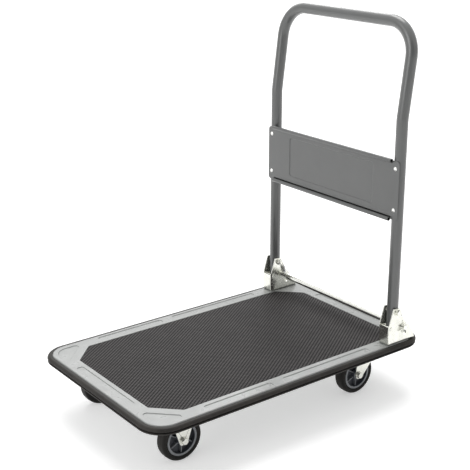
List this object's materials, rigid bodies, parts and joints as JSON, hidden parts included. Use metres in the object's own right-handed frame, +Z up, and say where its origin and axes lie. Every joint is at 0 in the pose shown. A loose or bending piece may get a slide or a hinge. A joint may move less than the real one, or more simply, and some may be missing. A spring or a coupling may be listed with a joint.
{
  "type": "folding platform cart",
  "caption": "Low steel platform cart with an anti-slip mat, a rubber edge, fixed and swivel casters, and a grey tubular handle that unlocks and folds flat over the deck.",
  "frame": {"origin": "on the floor under the middle of the platform", "axes": "+X runs along the platform towards the handle, +Y to the side, +Z up; at rest the handle stands locked and the rear casters trail forwards"},
  "size_m": [0.749, 0.471, 0.8534],
  "materials": {
    "deck_paint": "light grey satin paint on pressed steel",
    "mat_vinyl": "charcoal textured anti-slip vinyl",
    "bumper_rubber": "near-black soft extruded rubber with a low sheen",
    "zinc": "bright zinc plate with a faint yellow-green tint",
    "handle_paint": "mid grey satin powder coat",
    "spring_steel": "bright spring steel wire",
    "ball_steel": "polished bearing steel",
    "tyre_rubber": "solid black rubber tyre",
    "hub_plastic": "grey moulded nylon wheel centre"
  },
  "bodies": {
    "deck": {"deck_plate": "deck_paint", "anti_slip_mat": "mat_vinyl", "bumper": "bumper_rubber", "cross_member_front": "deck_paint", "cross_member_middle": "deck_paint", "cross_member_rear": "deck_paint", "bracket_left": "zinc", "bracket_right": "zinc", "bracket_bolts": "zinc", "bracket_nuts": "zinc", "stop_pins": "zinc", "pivot_bolts": "zinc", "pivot_nuts": "zinc", "lock_spring_left": "spring_steel", "lock_spring_right": "spring_steel", "fixed_fork_left": "zinc", "fixed_fork_right": "zinc", "front_axle_bolts": "zinc", "front_axle_nuts": "zinc", "front_axle_sleeves": "zinc", "caster_bolts": "zinc", "caster_nuts": "zinc", "swivel_plate_left": "zinc", "swivel_plate_right": "zinc", "kingpin_left": "zinc", "kingpin_right": "zinc", "bearing_balls_left": "ball_steel", "bearing_balls_right": "ball_steel"},
    "handle": {"handle_tube": "handle_paint", "handle_panel": "handle_paint", "panel_rivets": "zinc", "pivot_sleeves": "zinc"},
    "lock_bar": {"lock_rod": "zinc", "foot_tube": "zinc", "rod_washers": "zinc", "rod_split_pins": "zinc"},
    "swivel_left": {"swivel_fork_left": "zinc", "rear_axle_bolt_left": "zinc", "rear_axle_nut_left": "zinc", "rear_axle_sleeve_left": "zinc"},
    "swivel_right": {"swivel_fork_right": "zinc", "rear_axle_bolt_right": "zinc", "rear_axle_nut_right": "zinc", "rear_axle_sleeve_right": "zinc"},
    "wheel_front_left": {"tyre_front_left": "tyre_rubber", "hub_front_left": "hub_plastic"},
    "wheel_front_right": {"tyre_front_right": "tyre_rubber", "hub_front_right": "hub_plastic"},
    "wheel_rear_left": {"tyre_rear_left": "tyre_rubber", "hub_rear_left": "hub_plastic"},
    "wheel_rear_right": {"tyre_rear_right": "tyre_rubber", "hub_rear_right": "hub_plastic"}
  },
  "joints": [
    {"name": "handle_fold", "type": "hinge", "parent": "deck", "child": "handle", "pos_m": [0.287, 0, 0.203], "axis": [0, 1, 0], "range_deg": [-97.5, 0]},
    {"name": "lock_bar_press", "type": "slide", "parent": "deck", "child": "lock_bar", "axis": [0.4179, 0, -0.9085], "range_m": [0, 0.015], "stiffness_N_per_m": 800, "springref_m": -0.02, "deforming": ["lock_spring_left", "lock_spring_right"]},
    {"name": "caster_swivel_left", "type": "hinge", "parent": "deck", "child": "swivel_left", "pos_m": [0.252, -0.155, 0.103], "axis": [0, 0, 1], "continuous": true},
    {"name": "caster_swivel_right", "type": "hinge", "parent": "deck", "child": "swivel_right", "pos_m": [0.252, 0.155, 0.103], "axis": [0, 0, 1], "continuous": true},
    {"name": "wheel_spin_front_left", "type": "hinge", "parent": "deck", "child": "wheel_front_left", "pos_m": [-0.2637, -0.155, 0.048], "axis": [0, 1, 0], "continuous": true},
    {"name": "wheel_spin_rear_left", "type": "hinge", "parent": "swivel_left", "child": "wheel_rear_left", "pos_m": [0.2243, -0.155, 0.048], "axis": [0, 1, 0], "continuous": true},
    {"name": "wheel_spin_front_right", "type": "hinge", "parent": "deck", "child": "wheel_front_right", "pos_m": [-0.2637, 0.155, 0.048], "axis": [0, 1, 0], "continuous": true},
    {"name": "wheel_spin_rear_right", "type": "hinge", "parent": "swivel_right", "child": "wheel_rear_right", "pos_m": [0.2243, 0.155, 0.048], "axis": [0, 1, 0], "continuous": true}
  ]
}
